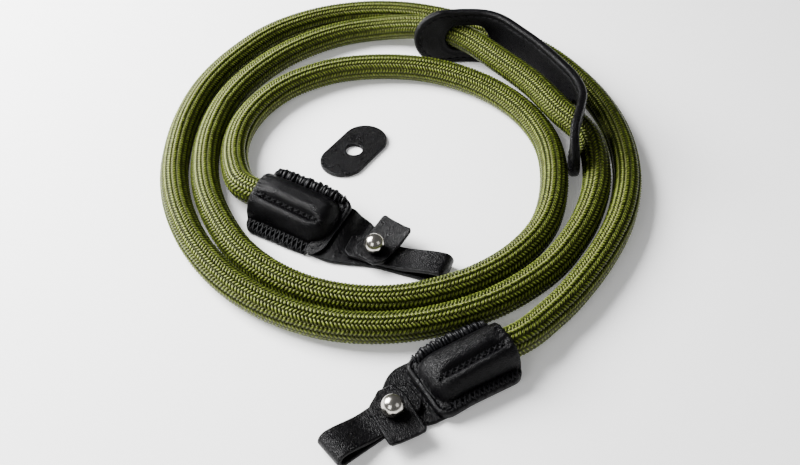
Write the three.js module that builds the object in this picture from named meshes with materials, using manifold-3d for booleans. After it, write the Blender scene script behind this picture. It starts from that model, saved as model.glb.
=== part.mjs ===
// Coiled camera strap: one round braided rope in nearly three turns, a leather shoulder pad that it is
// threaded through, and at each end a sewn leather cover, a folded camera loop, a keeper tab and a ball stud.
// Millimetres, +Z up. The strap lies on a table; x runs to the right and y away from the viewer.
import * as THREE from "three";
import { mergeVertices } from "three/addons/utils/BufferGeometryUtils.js";
import Module from "manifold-3d";

const wasm = await Module();
wasm.setup();

// Rope
const ropeDiameter = 10;
const ropeSides = 10;
const ropeSteps = 80;

// Shoulder pad: a band that stands on its long edge
const padHeight = 24;
const padThickness = 3;
const padColumns = 44;
const padTurns = 7;
const slotLength = 21.2;
const slotHeight = 11.8;
const tailFrom = 0.85;
const tailLean = 1.4;

// Sewn cover at each rope end
const coverLength = 29;
const coverWidth = 22.8;
const coverCorner = 4;
const coverMouthHeight = 13;
const coverTipHeight = 10;
const tipSlopeStart = 7.5;
const tipSlope = 5.4;
const coverFlange = 2.2;
const flangeHeight = 2.8;
const ropeAxis = 6.4;
const coverBodyWidth = 16.6;
const coverWall = 1.2;
const coverFloor = 1;
const cavityEnd = 8;
const valleyDepth = 3.4;
const valleyWidth = 3.2;

// Folded camera loop, keeper tab and ball stud
const stripThickness = 1.4;
const loopWidth = 9.8;
const loopHeight = 5.6;
const neckTuck = 4.6;
const neckHalfWidth = coverWidth / 2 - 2;
const stepDepth = 8;
const neckPastStud = 3.8;
const endBeforeStud = 9.6;
const stripTurn = 9.5;
const turnLength = 5;
const layerGap = 0.35;
const tabWidth = 11.8;
const tabChamfer = 3.2;
const tabTurn = -12;
const tabLift = 0.8;
const ballDiameter = 6.8;
const postDiameter = 3;
const headDiameter = 5.2;
const headThickness = 0.4;
const ballSink = 0.7;
const studHoleClearance = 0.6;
const holeDepth = 20;
const recessDepth = 0.8;

// Lug guard: a loose oval of leather
const guardLength = 30.4;
const guardWidth = 16.5;
const guardThickness = 1.4;
const guardHole = 6;
const guardSlit = 0.5;
const guardTurn = 56.7;

const leatherBlack = new THREE.MeshStandardMaterial({ name: "black_leather", color: 0x1b1b1e, roughness: 0.55 });
const ropeGreen = new THREE.MeshStandardMaterial({ name: "olive_braid", color: 0x76802f, roughness: 0.6 });
const nickel = new THREE.MeshStandardMaterial({ name: "nickel", color: 0xc9c6c0, roughness: 0.2, metalness: 1 });

// Centreline of the rope from cover 1 to cover 2.
const ropeRoute = [
  { x: -42.9, y: 8.9, z: 7.3 },
  { x: -53.5, y: 15.4, z: 7 },
  { x: -58, y: 26, z: 5.6 },
  { x: -59.7, y: 38.5, z: 5 },
  { x: -57.8, y: 52, z: 5 },
  { x: -51.5, y: 65.5, z: 5 },
  { x: -41, y: 77, z: 5 },
  { x: -25.5, y: 85.4, z: 5 },
  { x: -8, y: 88.2, z: 5 },
  { x: 9.5, y: 86.5, z: 5 },
  { x: 25, y: 80.2, z: 5 },
  { x: 38, y: 70, z: 5 },
  { x: 48.2, y: 55.8, z: 5 },
  { x: 53.8, y: 38.5, z: 5 },
  { x: 53.7, y: 18.5, z: 5 },
  { x: 48.4, y: -1, z: 5 },
  { x: 37.8, y: -15.9, z: 5 },
  { x: 23.3, y: -26.8, z: 5 },
  { x: 6.5, y: -33.3, z: 5 },
  { x: -9.5, y: -35, z: 5 },
  { x: -25.5, y: -32, z: 5 },
  { x: -39.8, y: -24.7, z: 5 },
  { x: -52, y: -13.6, z: 5 },
  { x: -60.9, y: 0.8, z: 5 },
  { x: -66.8, y: 15.7, z: 5 },
  { x: -69.5, y: 31, z: 5 },
  { x: -69.4, y: 47, z: 5 },
  { x: -65.6, y: 65.5, z: 5 },
  { x: -57, y: 82.5, z: 5 },
  { x: -44, y: 98, z: 5 },
  { x: -27, y: 109.6, z: 5 },
  { x: -9.5, y: 114.2, z: 5.5 },
  { x: 9.5, y: 110, z: 9 },
  { x: 25.5, y: 98.3, z: 12 },
  { x: 38.5, y: 83, z: 12 },
  { x: 50, y: 67.6, z: 12 },
  { x: 58.3, y: 51.6, z: 12 },
  { x: 67.2, y: 36.6, z: 11 },
  { x: 68.7, y: 21, z: 6.6 },
  { x: 64.5, y: 6, z: 5 },
  { x: 57, y: -8.8, z: 5 },
  { x: 46.8, y: -22.4, z: 5 },
  { x: 31.7, y: -34.4, z: 5 },
  { x: 15.1, y: -42, z: 5 },
  { x: -2, y: -45.6, z: 5 },
  { x: -20, y: -44.8, z: 5 },
  { x: -37, y: -38.9, z: 5 },
  { x: -52.3, y: -28.6, z: 5 },
  { x: -64.7, y: -14.3, z: 5 },
  { x: -73.7, y: 2.7, z: 5 },
  { x: -78.8, y: 20.4, z: 5 },
  { x: -80.3, y: 38, z: 5 },
  { x: -79.2, y: 56, z: 5 },
  { x: -74.8, y: 74.5, z: 5 },
  { x: -66, y: 92.5, z: 5 },
  { x: -52.5, y: 110, z: 5 },
  { x: -35, y: 121.5, z: 5 },
  { x: -15.5, y: 126.8, z: 5 },
  { x: 4.5, y: 126, z: 5 },
  { x: 24, y: 119.5, z: 5 },
  { x: 42.5, y: 109.8, z: 5 },
  { x: 58, y: 96, z: 5 },
  { x: 69.5, y: 78.5, z: 5 },
  { x: 77, y: 60, z: 5 },
  { x: 80.3, y: 41, z: 5 },
  { x: 79.5, y: 21, z: 5 },
  { x: 74.2, y: 1.7, z: 5 },
  { x: 64.9, y: -16.3, z: 5 },
  { x: 53.5, y: -32.5, z: 5 },
  { x: 44.5, y: -42.4, z: 5.1 },
  { x: 37.2, y: -49.8, z: 6.2 },
  { x: 28.5, y: -55, z: 6.4 },
];

// Plan of the pad's middle plane, from its left end to its tail.
const padRoute = [
  { x: 5.6, y: 97 },
  { x: 15, y: 98.2 },
  { x: 24.5, y: 99.4 },
  { x: 33.5, y: 98.8 },
  { x: 40, y: 95 },
  { x: 46.2, y: 87.2 },
  { x: 52.7, y: 78 },
  { x: 58.6, y: 67.5 },
  { x: 63.3, y: 57.4 },
  { x: 65, y: 47.5 },
  { x: 62.8, y: 37.8 },
  { x: 60.8, y: 29 },
  { x: 60.8, y: 20.9 },
];

// Where the rope goes through the pad: position along the band and height as shares of its size, and the
// slot's length as a share of slotLength.
const padSlots = [
  { along: 0.166, height: 0.5, length: 1 },
  { along: 0.812, height: 0.49, length: 1.16 },
];

// Each end: the middle of the cover's mouth, the direction that its loop points in and the cover's roll about
// the rope, in degrees, how far it lies above the table, how far the strip lies to the left of the rope's axis,
// how steeply its neck rises to the left, the stud's distance from the cover's tip and from the middle of the
// strip, the loop's length past the stud, the tab's length before and past the stud, and the width of the tab's
// end before the stud as a share of its width.
const ends = [
  {
    name: "1",
    x: -46.1, y: 10.7, turn: -29.5, roll: 18, lift: 0.9,
    neckShift: -3.2, neckRoll: 10,
    stud: 15.3, aside: -0.7, loop: 25.6,
    tabBefore: 5, tabPast: 11.8, tabEnd: 0.62,
  },
  {
    name: "2",
    x: 31.4, y: -53.4, turn: 209.5, roll: 0, lift: 0,
    neckShift: -0.3, neckRoll: 0,
    stud: 11.5, aside: 1.4, loop: 21.9,
    tabBefore: 6.9, tabPast: 10.4, tabEnd: 0.42,
  },
];

const guardPlace = { x: -16.9, y: 41.8 };

function smooth(value, from, to) {
  return THREE.MathUtils.smoothstep(value, from, to);
}

function asSolid(geometry) {
  const bare = geometry.clone();
  bare.deleteAttribute("normal");
  bare.deleteAttribute("uv");
  const merged = mergeVertices(bare, 1e-4);
  return new wasm.Manifold(new wasm.Mesh({
    numProp: 3,
    vertProperties: new Float32Array(merged.attributes.position.array),
    triVerts: new Uint32Array(merged.index.array),
  }));
}

function asGeometry(solid) {
  const mesh = solid.getMesh();
  const geometry = new THREE.BufferGeometry();
  geometry.setAttribute("position", new THREE.BufferAttribute(new Float32Array(mesh.vertProperties), 3));
  geometry.setIndex(new THREE.BufferAttribute(new Uint32Array(mesh.triVerts), 1));
  geometry.computeVertexNormals();
  return geometry;
}

function moveVertices(geometry, move) {
  const position = geometry.attributes.position;
  const point = new THREE.Vector3();
  for (let i = 0; i < position.count; i += 1) {
    point.fromBufferAttribute(position, i);
    move(point);
    position.setXYZ(i, point.x, point.y, point.z);
  }
  return geometry;
}

function named(name, geometry, material) {
  geometry.computeVertexNormals();
  const mesh = new THREE.Mesh(geometry, material);
  mesh.name = name;
  return mesh;
}

function roundRope() {
  const points = ropeRoute.map((p) => new THREE.Vector3(p.x, p.y, p.z));
  const section = new THREE.Shape();
  for (let i = 0; i < ropeSides; i += 1) {
    const angle = (i / ropeSides) * Math.PI * 2;
    const x = Math.cos(angle) * ropeDiameter / 2;
    const y = Math.sin(angle) * ropeDiameter / 2;
    if (i === 0) section.moveTo(x, y);
    else section.lineTo(x, y);
  }
  section.closePath();
  return new THREE.ExtrudeGeometry(section, {
    steps: ropeSteps,
    bevelEnabled: false,
    extrudePath: new THREE.CatmullRomCurve3(points, false, "catmullrom", 0.5),
  });
}

// A stadium outline round the origin, long in x.
function stadium(length, height) {
  const shape = new THREE.Shape();
  const reach = (length - height) / 2;
  shape.moveTo(-reach, -height / 2);
  shape.lineTo(reach, -height / 2);
  shape.absarc(reach, 0, height / 2, -Math.PI / 2, Math.PI / 2, false);
  shape.lineTo(-reach, height / 2);
  shape.absarc(-reach, 0, height / 2, Math.PI / 2, Math.PI * 1.5, false);
  return shape;
}

function shoulderPad() {
  const curve = new THREE.CatmullRomCurve3(
    padRoute.map((p) => new THREE.Vector3(p.x, p.y, padHeight / 2)), false, "catmullrom", 0.5);
  const length = curve.getLength();
  const endRadius = padHeight / 2;
  const panel = new THREE.BoxGeometry(1, 1, padThickness, padColumns, 1, 1);
  moveVertices(panel, (p) => {
    // Columns are close together in the round ends and even between them.
    const column = Math.round((p.x + 0.5) * padColumns);
    const fromEnd = Math.min(column, padColumns - column);
    let reach = endRadius * (1 - Math.cos(((fromEnd + 1) / (padTurns + 1)) * Math.PI / 2));
    if (fromEnd >= padTurns) {
      const middle = (column - padTurns) / (padColumns - padTurns * 2);
      reach = endRadius + middle * (length - endRadius * 2);
    } else if (column > padTurns) {
      reach = length - reach;
    }
    const near = Math.min(reach, length - reach, endRadius);
    const half = Math.sqrt(endRadius * endRadius - (endRadius - near) * (endRadius - near));
    const share = THREE.MathUtils.clamp(reach / length, 0, 1);
    const at = curve.getPointAt(share);
    const along = curve.getTangentAt(share);
    const up = p.y * 2 * half;
    const lean = tailLean * smooth(share, tailFrom, 1) * (up / endRadius);
    const out = p.z + lean;
    p.set(at.x + along.y * out, at.y - along.x * out, padHeight / 2 + up);
  });
  let solid = asSolid(panel);
  for (const slot of padSlots) {
    const at = curve.getPointAt(slot.along);
    const along = curve.getTangentAt(slot.along);
    const cutter = new THREE.ExtrudeGeometry(stadium(slotLength * slot.length, slotHeight), {
      depth: padThickness * 4, bevelEnabled: false, curveSegments: 6 });
    cutter.translate(0, 0, -padThickness * 2);
    cutter.rotateX(Math.PI / 2);
    cutter.rotateZ(Math.atan2(along.y, along.x));
    cutter.translate(at.x, at.y, padHeight * slot.height);
    solid = solid.subtract(asSolid(cutter));
  }
  return asGeometry(solid);
}

// Half width of the cover at a distance from its mouth, with rounded corners.
function coverHalfWidth(x) {
  const fromEnd = Math.min(x, coverLength - x, coverCorner);
  const inset = coverCorner - Math.sqrt(coverCorner ** 2 - (coverCorner - fromEnd) ** 2);
  return coverWidth / 2 - inset;
}

// Share of the cover's crown at a point: 1 along its middle, 0 on the flange and at the tip's rim.
function coverBulge(x, y, bodyWidth) {
  const across = Math.max(0, 1 - Math.abs(y / (bodyWidth / 2)) ** 3.2) ** 0.6;
  const tip = THREE.MathUtils.clamp((x - (coverLength - tipSlopeStart)) / tipSlope, 0, 1);
  return across * Math.sqrt(1 - tip * tip);
}

// Upper side: two soft ridges with a sewn valley between them, which fall to the flange.
function coverTop(x, y, bodyWidth, base, skin) {
  const crown = THREE.MathUtils.lerp(coverMouthHeight, coverTipHeight, smooth(x, 0, coverLength)) - skin;
  const valley = valleyDepth * Math.exp(-((y / (valleyWidth / 2)) ** 2))
    * smooth(x, 3, 10) * (1 - smooth(x, coverLength - 9, coverLength - 5));
  return base + Math.max(0, (crown - base) * coverBulge(x, y, bodyWidth) - valley);
}

// Underside: round about the rope's axis in the middle, flat under the flange.
function coverUnder(x, y, radius, low) {
  const round = ropeAxis - Math.sqrt(Math.max(0, radius * radius - y * y));
  return Math.min(low, round);
}

// Height of the flange's underside, which comes down to the strip at the tip.
function flangeUnder(x) {
  return THREE.MathUtils.lerp(flangeHeight, stripThickness + layerGap, smooth(x, coverLength - 12, coverLength - 3));
}

function endCover(end) {
  const columns = 18;
  const rows = 24;
  const shell = new THREE.BoxGeometry(1, 1, 1, columns, rows, 1);
  moveVertices(shell, (p) => {
    const x = coverLength * (0.5 - 0.5 * Math.cos((p.x + 0.5) * Math.PI));
    const y = p.y * 2 * coverHalfWidth(THREE.MathUtils.clamp(x, 0.25, coverLength - 0.25));
    const low = flangeUnder(x);
    const z = p.z > 0
      ? coverTop(x, y, coverBodyWidth, low + coverFlange, 0)
      : coverUnder(x, y, ropeAxis, low);
    p.set(x, y, z);
  });
  const cavityLength = coverLength - cavityEnd;
  const cavityWidth = coverBodyWidth - coverWall * 2;
  const cavity = new THREE.BoxGeometry(1, 1, 1, 10, 14, 1);
  moveVertices(cavity, (p) => {
    const x = -1 + (cavityLength + 1) * (p.x + 0.5);
    const y = p.y * cavityWidth * 0.96;
    const low = flangeUnder(x) + 0.9;
    const z = p.z > 0
      ? Math.max(low + 0.2, coverTop(x, y, cavityWidth, low, coverWall))
      : coverUnder(x, y, ropeAxis - coverFloor, low);
    p.set(x, y, z);
  });
  // The neck of the strip is tucked under the cover's tip, in a step that is parallel to it.
  const step = new THREE.BoxGeometry(neckTuck * 2, coverWidth * 2.4, stepDepth);
  step.translate(coverLength + layerGap, 0, stripThickness + layerGap - stepDepth / 2);
  step.rotateX(THREE.MathUtils.degToRad(end.neckRoll));
  step.translate(-layerGap * 2, end.neckShift - neckHalfWidth, 0);
  const cover = asGeometry(asSolid(shell).subtract(asSolid(cavity)));
  cover.translate(0, 0, -ropeAxis);
  cover.rotateX(THREE.MathUtils.degToRad(end.roll));
  cover.translate(0, 0, ropeAxis + end.lift);
  // Where a rolled flange meets the table it is pressed flat.
  const table = new THREE.BoxGeometry(coverLength * 2, coverWidth * 2, stepDepth);
  table.translate(coverLength / 2, 0, -stepDepth / 2);
  return asGeometry(asSolid(cover).subtract(asSolid(step)).subtract(asSolid(table)));
}

// Height of the middle of the folded strip's upper layer at a distance from the cover's tip.
function upperLayer(s, end) {
  const low = stripThickness * 1.5 + layerGap;
  const high = loopHeight - stripThickness / 2;
  const fold = end.stud + end.loop - loopHeight / 2;
  return low + (high - low) * smooth(s, end.stud + tabWidth / 2 + 1, fold + 0.4);
}

function stripHalfWidth(s, z, end) {
  if (z < stripThickness * 1.1 && s < end.stud + end.loop - loopHeight) {
    const neck = smooth(s, 0.5, end.stud + neckPastStud);
    return THREE.MathUtils.lerp(neckHalfWidth, loopWidth / 2, neck);
  }
  const tail = end.stud - endBeforeStud;
  return (loopWidth / 2) * THREE.MathUtils.lerp(0.5, 1, smooth(s, tail - 1.5, tail + 2.2));
}

// An upright cylinder at the stud, a little wider than the stud's own diameter there, to cut its hole with.
function studHole(diameter, depth, end) {
  const radius = (diameter + studHoleClearance) / 2;
  const hole = new THREE.CylinderGeometry(radius, radius, depth, 16);
  hole.rotateX(Math.PI / 2);
  hole.translate(end.stud, end.aside, 0);
  return asSolid(hole);
}

function loopStrap(end) {
  const half = stripThickness / 2;
  const foldRadius = (loopHeight - stripThickness) / 2;
  const foldAt = end.stud + end.loop - loopHeight / 2;
  const middle = [];
  const lowerSteps = 16;
  for (let i = 0; i <= lowerSteps; i += 1) {
    middle.push(new THREE.Vector2(-neckTuck + (foldAt + neckTuck) * (i / lowerSteps), half));
  }
  const foldSteps = 10;
  for (let i = 1; i < foldSteps; i += 1) {
    const angle = -Math.PI / 2 + Math.PI * (i / foldSteps);
    middle.push(new THREE.Vector2(
      foldAt + Math.cos(angle) * foldRadius, half + foldRadius + Math.sin(angle) * foldRadius));
  }
  const upperSteps = 20;
  for (let i = 0; i <= upperSteps; i += 1) {
    const s = THREE.MathUtils.lerp(foldAt, end.stud - endBeforeStud, i / upperSteps);
    middle.push(new THREE.Vector2(s, upperLayer(s, end)));
  }
  const outer = [];
  const inner = [];
  middle.forEach((p, i) => {
    const before = middle[Math.max(0, i - 1)];
    const after = middle[Math.min(middle.length - 1, i + 1)];
    const normal = new THREE.Vector2(after.y - before.y, before.x - after.x).normalize().multiplyScalar(half);
    outer.push(p.clone().add(normal));
    inner.push(p.clone().sub(normal));
  });
  const side = new THREE.Shape([...outer, ...inner.reverse()]);
  const strip = new THREE.ExtrudeGeometry(side, { depth: 2, steps: 1, bevelEnabled: false });
  // The side view stands in x and y: turned so that its height is z and its depth is the strip's width.
  moveVertices(strip, (p) => {
    const s = p.x;
    const z = p.y;
    const y = (1 - p.z) * stripHalfWidth(s, z, end);
    const slope = Math.tan(THREE.MathUtils.degToRad(end.neckRoll));
    const rise = slope * (1 - smooth(s, 0, end.stud - tabWidth / 2 - 1));
    p.set(s, y, z + rise * (y + neckHalfWidth));
  });
  const hole = studHole(postDiameter, holeDepth, end);
  const recess = studHole(headDiameter, recessDepth * 2, end);
  return asGeometry(asSolid(strip).subtract(hole).subtract(recess));
}

function tabHeight() {
  return stripThickness * 2 + layerGap * 2;
}

function keeperTab(end) {
  const tab = new THREE.BoxGeometry(1, 1, stripThickness, 6, 12, 1);
  moveVertices(tab, (p) => {
    const y = THREE.MathUtils.lerp(-end.tabBefore, end.tabPast, p.y + 0.5);
    const chamfer = smooth(y, -end.tabBefore, -end.tabBefore + tabChamfer);
    const half = (tabWidth / 2) * THREE.MathUtils.lerp(end.tabEnd, 1, chamfer);
    const past = smooth(y, 2, end.tabBefore + end.tabPast);
    p.set(p.x * 2 * half, y, tabHeight() + stripThickness / 2 + p.z + tabLift * past);
  });
  tab.rotateZ(THREE.MathUtils.degToRad(tabTurn));
  tab.translate(end.stud, end.aside, 0);
  return asGeometry(asSolid(tab).subtract(studHole(postDiameter, holeDepth, end)));
}

function ballStud(end) {
  const seat = tabHeight() + stripThickness + 0.3;
  const ball = ballDiameter / 2;
  const centre = seat + ball * ballSink;
  const profile = [
    new THREE.Vector2(0, 0.1),
    new THREE.Vector2(headDiameter / 2, 0.1),
    new THREE.Vector2(headDiameter / 2, 0.1 + headThickness),
    new THREE.Vector2(postDiameter / 2, 0.1 + headThickness),
    new THREE.Vector2(postDiameter / 2, seat),
  ];
  const start = -Math.asin(ballSink);
  const arcSteps = 10;
  for (let i = 0; i < arcSteps; i += 1) {
    const angle = THREE.MathUtils.lerp(start, Math.PI / 2, i / arcSteps);
    profile.push(new THREE.Vector2(Math.cos(angle) * ball, centre + Math.sin(angle) * ball));
  }
  profile.push(new THREE.Vector2(0, centre + ball));
  const stud = new THREE.LatheGeometry(profile, 20);
  stud.rotateX(Math.PI / 2);
  stud.translate(end.stud, end.aside, 0);
  return stud;
}

function lugGuard() {
  const outline = stadium(guardLength, guardWidth);
  const hole = new THREE.Path();
  const slit = guardSlit / 2;
  const radius = guardHole / 2;
  const opening = Math.asin(slit / radius);
  hole.absarc(0, 0, radius, opening, Math.PI * 2 - opening, false);
  hole.lineTo(radius * 1.7, -slit);
  hole.lineTo(radius * 1.7, slit);
  hole.closePath();
  outline.holes.push(hole);
  const guard = new THREE.ExtrudeGeometry(outline, {
    depth: guardThickness, bevelEnabled: false, curveSegments: 16 });
  guard.rotateZ(THREE.MathUtils.degToRad(guardTurn));
  guard.translate(guardPlace.x, guardPlace.y, 0);
  return guard;
}

// The strip bends a little to the left as it leaves the cover, and carries tab and stud with it.
function onStrip(geometry, end) {
  const axis = new THREE.Vector3(0, 0, 1);
  moveVertices(geometry, (p) => {
    const share = THREE.MathUtils.clamp(p.x / turnLength, 0, 1);
    p.applyAxisAngle(axis, THREE.MathUtils.degToRad(stripTurn) * share);
  });
  return geometry.translate(coverLength, end.neckShift, 0);
}

function placed(geometry, end) {
  geometry.rotateZ(THREE.MathUtils.degToRad(end.turn));
  return geometry.translate(end.x, end.y, 0);
}

const strap = new THREE.Group();
strap.name = "coiled_camera_strap";
strap.add(named("rope", roundRope(), ropeGreen));
strap.add(named("shoulder_pad", shoulderPad(), leatherBlack));
for (const end of ends) {
  strap.add(named(`end_cover_${end.name}`, placed(endCover(end), end), leatherBlack));
  strap.add(named(`loop_strap_${end.name}`, placed(onStrip(loopStrap(end), end), end), leatherBlack));
  strap.add(named(`keeper_tab_${end.name}`, placed(onStrip(keeperTab(end), end), end), leatherBlack));
  strap.add(named(`ball_stud_${end.name}`, placed(onStrip(ballStud(end), end), end), nickel));
}
strap.add(named("lug_guard", lugGuard(), leatherBlack));

// The middle of the footprint is the origin.
const bounds = new THREE.Box3().setFromObject(strap);
strap.position.set(-(bounds.min.x + bounds.max.x) / 2, -(bounds.min.y + bounds.max.y) / 2, -bounds.min.z);

export default strap;
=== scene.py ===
import math

import bmesh
import bpy
import numpy as np
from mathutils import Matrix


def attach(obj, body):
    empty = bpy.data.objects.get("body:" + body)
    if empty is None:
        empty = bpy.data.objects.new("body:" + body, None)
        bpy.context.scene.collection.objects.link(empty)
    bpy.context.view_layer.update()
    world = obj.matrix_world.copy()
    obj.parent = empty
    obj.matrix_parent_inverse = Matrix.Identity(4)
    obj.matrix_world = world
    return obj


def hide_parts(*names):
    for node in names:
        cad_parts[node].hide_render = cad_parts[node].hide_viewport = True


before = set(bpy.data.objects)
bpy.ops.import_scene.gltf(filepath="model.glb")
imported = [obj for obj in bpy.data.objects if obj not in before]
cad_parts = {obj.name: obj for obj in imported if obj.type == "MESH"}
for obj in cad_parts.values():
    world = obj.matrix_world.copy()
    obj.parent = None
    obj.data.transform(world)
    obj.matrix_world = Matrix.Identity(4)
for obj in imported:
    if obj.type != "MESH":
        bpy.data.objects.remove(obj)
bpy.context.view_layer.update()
mm = 0.001

# The strap's own plan has its origin under the middle of the view. This is its place in the row's frame.
planPlace = np.array([-0.103, -19.862, 0.062])


def tell(text):
    print("scene:", text)


# Linear colour of an sRGB hex text.
def linearColour(text):
    value = np.array([int(text[i:i + 2], 16) for i in (1, 3, 5)]) / 255
    linear = np.where(value <= 0.04045, value / 12.92, ((value + 0.055) / 1.055) ** 2.4)
    return (*linear.tolist(), 1.0)


# 0 below low, 1 above high, and 3 * share squared - 2 * share cubed between them.
def smooth(value, low, high):
    share = np.clip((np.asarray(value, float) - low) / (high - low), 0, 1)
    return share * share * (3 - 2 * share)


def mix(a, b, share):
    return a + (b - a) * share


# A shader node. Each input is a value or a socket to link, and the settings are the node's own.
def addNode(tree, kind, inputs=None, **settings):
    node = tree.nodes.new(kind)
    for name, value in settings.items():
        setattr(node, name, value)
    for name, value in (inputs or {}).items():
        if isinstance(value, bpy.types.NodeSocket):
            tree.links.new(value, node.inputs[name])
        else:
            node.inputs[name].default_value = value
    return node


def addRamp(tree, factor, stops):
    ramp = addNode(tree, "ShaderNodeValToRGB", {"Fac": factor})
    elements = ramp.color_ramp.elements
    while len(elements) < len(stops):
        elements.new(0.5)
    for element, (place, colour) in zip(elements, stops):
        element.position = place
        element.color = linearColour(colour)
    return ramp.outputs["Color"]


def addNoise(tree, place, scale, detail, output="Fac"):
    node = addNode(tree, "ShaderNodeTexNoise", {"Vector": place, "Scale": scale, "Detail": detail})
    return node.outputs[output]


# A colour multiplied by a shade, by a share of 0 to 1.
def addShade(tree, share, colour, shade):
    node = addNode(tree, "ShaderNodeMix", {0: share, 6: colour, 7: shade}, data_type="RGBA",
                   blend_type="MULTIPLY")
    return node.outputs[2]


def newMaterial(name, **constants):
    material = bpy.data.materials.new(name)
    material.use_nodes = True
    tree = material.node_tree
    shader = tree.nodes["Principled BSDF"]
    for socket, value in constants.items():
        shader.inputs[socket].default_value = value
    return material, tree, shader


# The camera looks down at the table at 45 degrees.
camera = bpy.data.objects.new("camera", bpy.data.cameras.new("camera"))
camera.data.lens = 45
camera.data.sensor_width = 36
camera.data.clip_start = 0.01
camera.location = (-0.000103, -0.25926, 0.23946)
camera.rotation_euler = (math.radians(45), 0, 0)
bpy.context.collection.objects.link(camera)
bpy.context.scene.camera = camera


# A mesh object from points of the strap's plan and quads of their indices, with its map and point values.
def meshPiece(name, points, faces, material, uv=None, values=None):
    mesh = bpy.data.meshes.new(name)
    corners = faces.ravel()
    mesh.vertices.add(len(points))
    mesh.vertices.foreach_set("co", ((points + planPlace) * mm).astype(np.float32).ravel())
    mesh.loops.add(corners.size)
    mesh.loops.foreach_set("vertex_index", corners.astype(np.int32))
    mesh.polygons.add(len(faces))
    mesh.polygons.foreach_set("loop_start", np.arange(0, corners.size, faces.shape[1], dtype=np.int32))
    mesh.update(calc_edges=True)
    mesh.polygons.foreach_set("use_smooth", np.full(len(faces), True))
    if uv is not None:
        mesh.uv_layers.new(name="UVMap").data.foreach_set("uv", uv[corners].astype(np.float32).ravel())
    for key, value in (values or {}).items():
        mesh.attributes.new(key, "FLOAT", "POINT").data.foreach_set("value", value.astype(np.float32))
    mesh.materials.append(material)
    piece = bpy.data.objects.new(name, mesh)
    bpy.context.collection.objects.link(piece)
    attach(piece, "root")
    return piece


# Quads of a grid of rows and columns. A closed grid joins its last row or column to its first.
def gridFaces(rows, columns, closeRows=False, closeColumns=False):
    row = np.arange(rows if closeRows else rows - 1)[:, None]
    column = np.arange(columns if closeColumns else columns - 1)[None, :]
    nextRow = (row + 1) % rows
    nextColumn = (column + 1) % columns
    faces = np.stack([row * columns + column, nextRow * columns + column,
                      nextRow * columns + nextColumn, row * columns + nextColumn], axis=-1)
    return faces.reshape(-1, 4)


# Turns the faces round where the closed surface's signed volume is negative, so that normals point out.
def outward(points, faces):
    a, b, c, d = (points[faces[:, i]] for i in range(4))
    volume = np.einsum("ij,ij->i", a, np.cross(b, c)) + np.einsum("ij,ij->i", a, np.cross(c, d))
    return faces[:, ::-1] if volume.sum() < 0 else faces


# Quads of a tube of rings, each with an even number of sides, and the quads that close its two ends.
def tubeFaces(rings, sides):
    i = np.arange(sides // 2 - 1)
    cap = np.stack([i, i + 1, sides - 2 - i, sides - 1 - i], axis=-1)
    return np.concatenate([gridFaces(rings, sides, False, True), cap, cap[:, ::-1] + (rings - 1) * sides])


# A closed leather shell from its upper and under sides, each an array of rows x columns x 3. Their edges
# are joined, and the first and last rows are closed, unless the rows go round.
def shellPiece(name, upper, under, material, closeRows=False):
    rings = np.concatenate([upper, under[:, ::-1]], axis=1)
    rows, count = rings.shape[:2]
    faces = gridFaces(rows, count, True, True) if closeRows else tubeFaces(rows, count)
    points = rings.reshape(-1, 3)
    return meshPiece(name, points, outward(points, faces), material)


# Threads: tubes along many short lines at once. Lines are count x steps x 3. The ends are round: the
# radius is multiplied by the root of 1 - 0.98 * |share| to the power 6, with share from -1 to 1.
def threadPiece(name, lines, radius, material, sides=8):
    lines = np.asarray(lines, float)
    count, steps = lines.shape[:2]
    along = np.gradient(lines, axis=1)
    along /= np.linalg.norm(along, axis=2, keepdims=True)
    side = np.cross(along, [0.13, 0.21, 0.97])  # a direction that no thread follows
    side /= np.linalg.norm(side, axis=2, keepdims=True)
    top = np.cross(side, along)
    share = np.linspace(-1, 1, steps)
    thick = radius * np.sqrt(1 - np.abs(share) ** 6 * 0.98)
    angle = np.arange(sides) / sides * 2 * np.pi
    ring = (np.cos(angle)[:, None] * side[:, :, None] + np.sin(angle)[:, None] * top[:, :, None])
    points = lines[:, :, None] + ring * thick[None, :, None, None]
    one = outward(points[0].reshape(-1, 3), tubeFaces(steps, sides))
    faces = (one[None] + (np.arange(count) * steps * sides)[:, None, None]).reshape(-1, 4)
    distance = np.linspace(0, 1, steps)[None, :, None] * np.ones((count, 1, sides))
    turn = (angle / (2 * np.pi))[None, None, :] * np.ones((count, steps, 1))
    uv = np.stack([distance, turn], axis=-1).reshape(-1, 2)
    return meshPiece(name, points.reshape(-1, 3), faces, material, uv)


# A uniform Catmull-Rom curve through points, sampled evenly along its length. Returns points and length.
def smoothPath(points, spacing):
    points = np.asarray(points, float)
    padded = np.vstack([2 * points[0] - points[1], points, 2 * points[-1] - points[-2]])
    t = np.linspace(0, 1, 40, endpoint=False)[:, None]
    parts = []
    for k in range(len(points) - 1):
        before, start, end, after = padded[k:k + 4]
        startPull = (end - before) / 2
        endPull = (after - start) / 2
        parts.append((2 * t ** 3 - 3 * t ** 2 + 1) * start + (t ** 3 - 2 * t ** 2 + t) * startPull
                     + (3 * t ** 2 - 2 * t ** 3) * end + (t ** 3 - t ** 2) * endPull)
    fine = np.vstack([*parts, points[-1:]])
    reach = np.concatenate([[0], np.cumsum(np.linalg.norm(np.diff(fine, axis=0), axis=1))])
    count = max(2, int(round(reach[-1] / spacing)) + 1)
    even = np.linspace(0, reach[-1], count)
    return np.stack([np.interp(even, reach, fine[:, k]) for k in range(points.shape[1])], axis=1), reach[-1]


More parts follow.
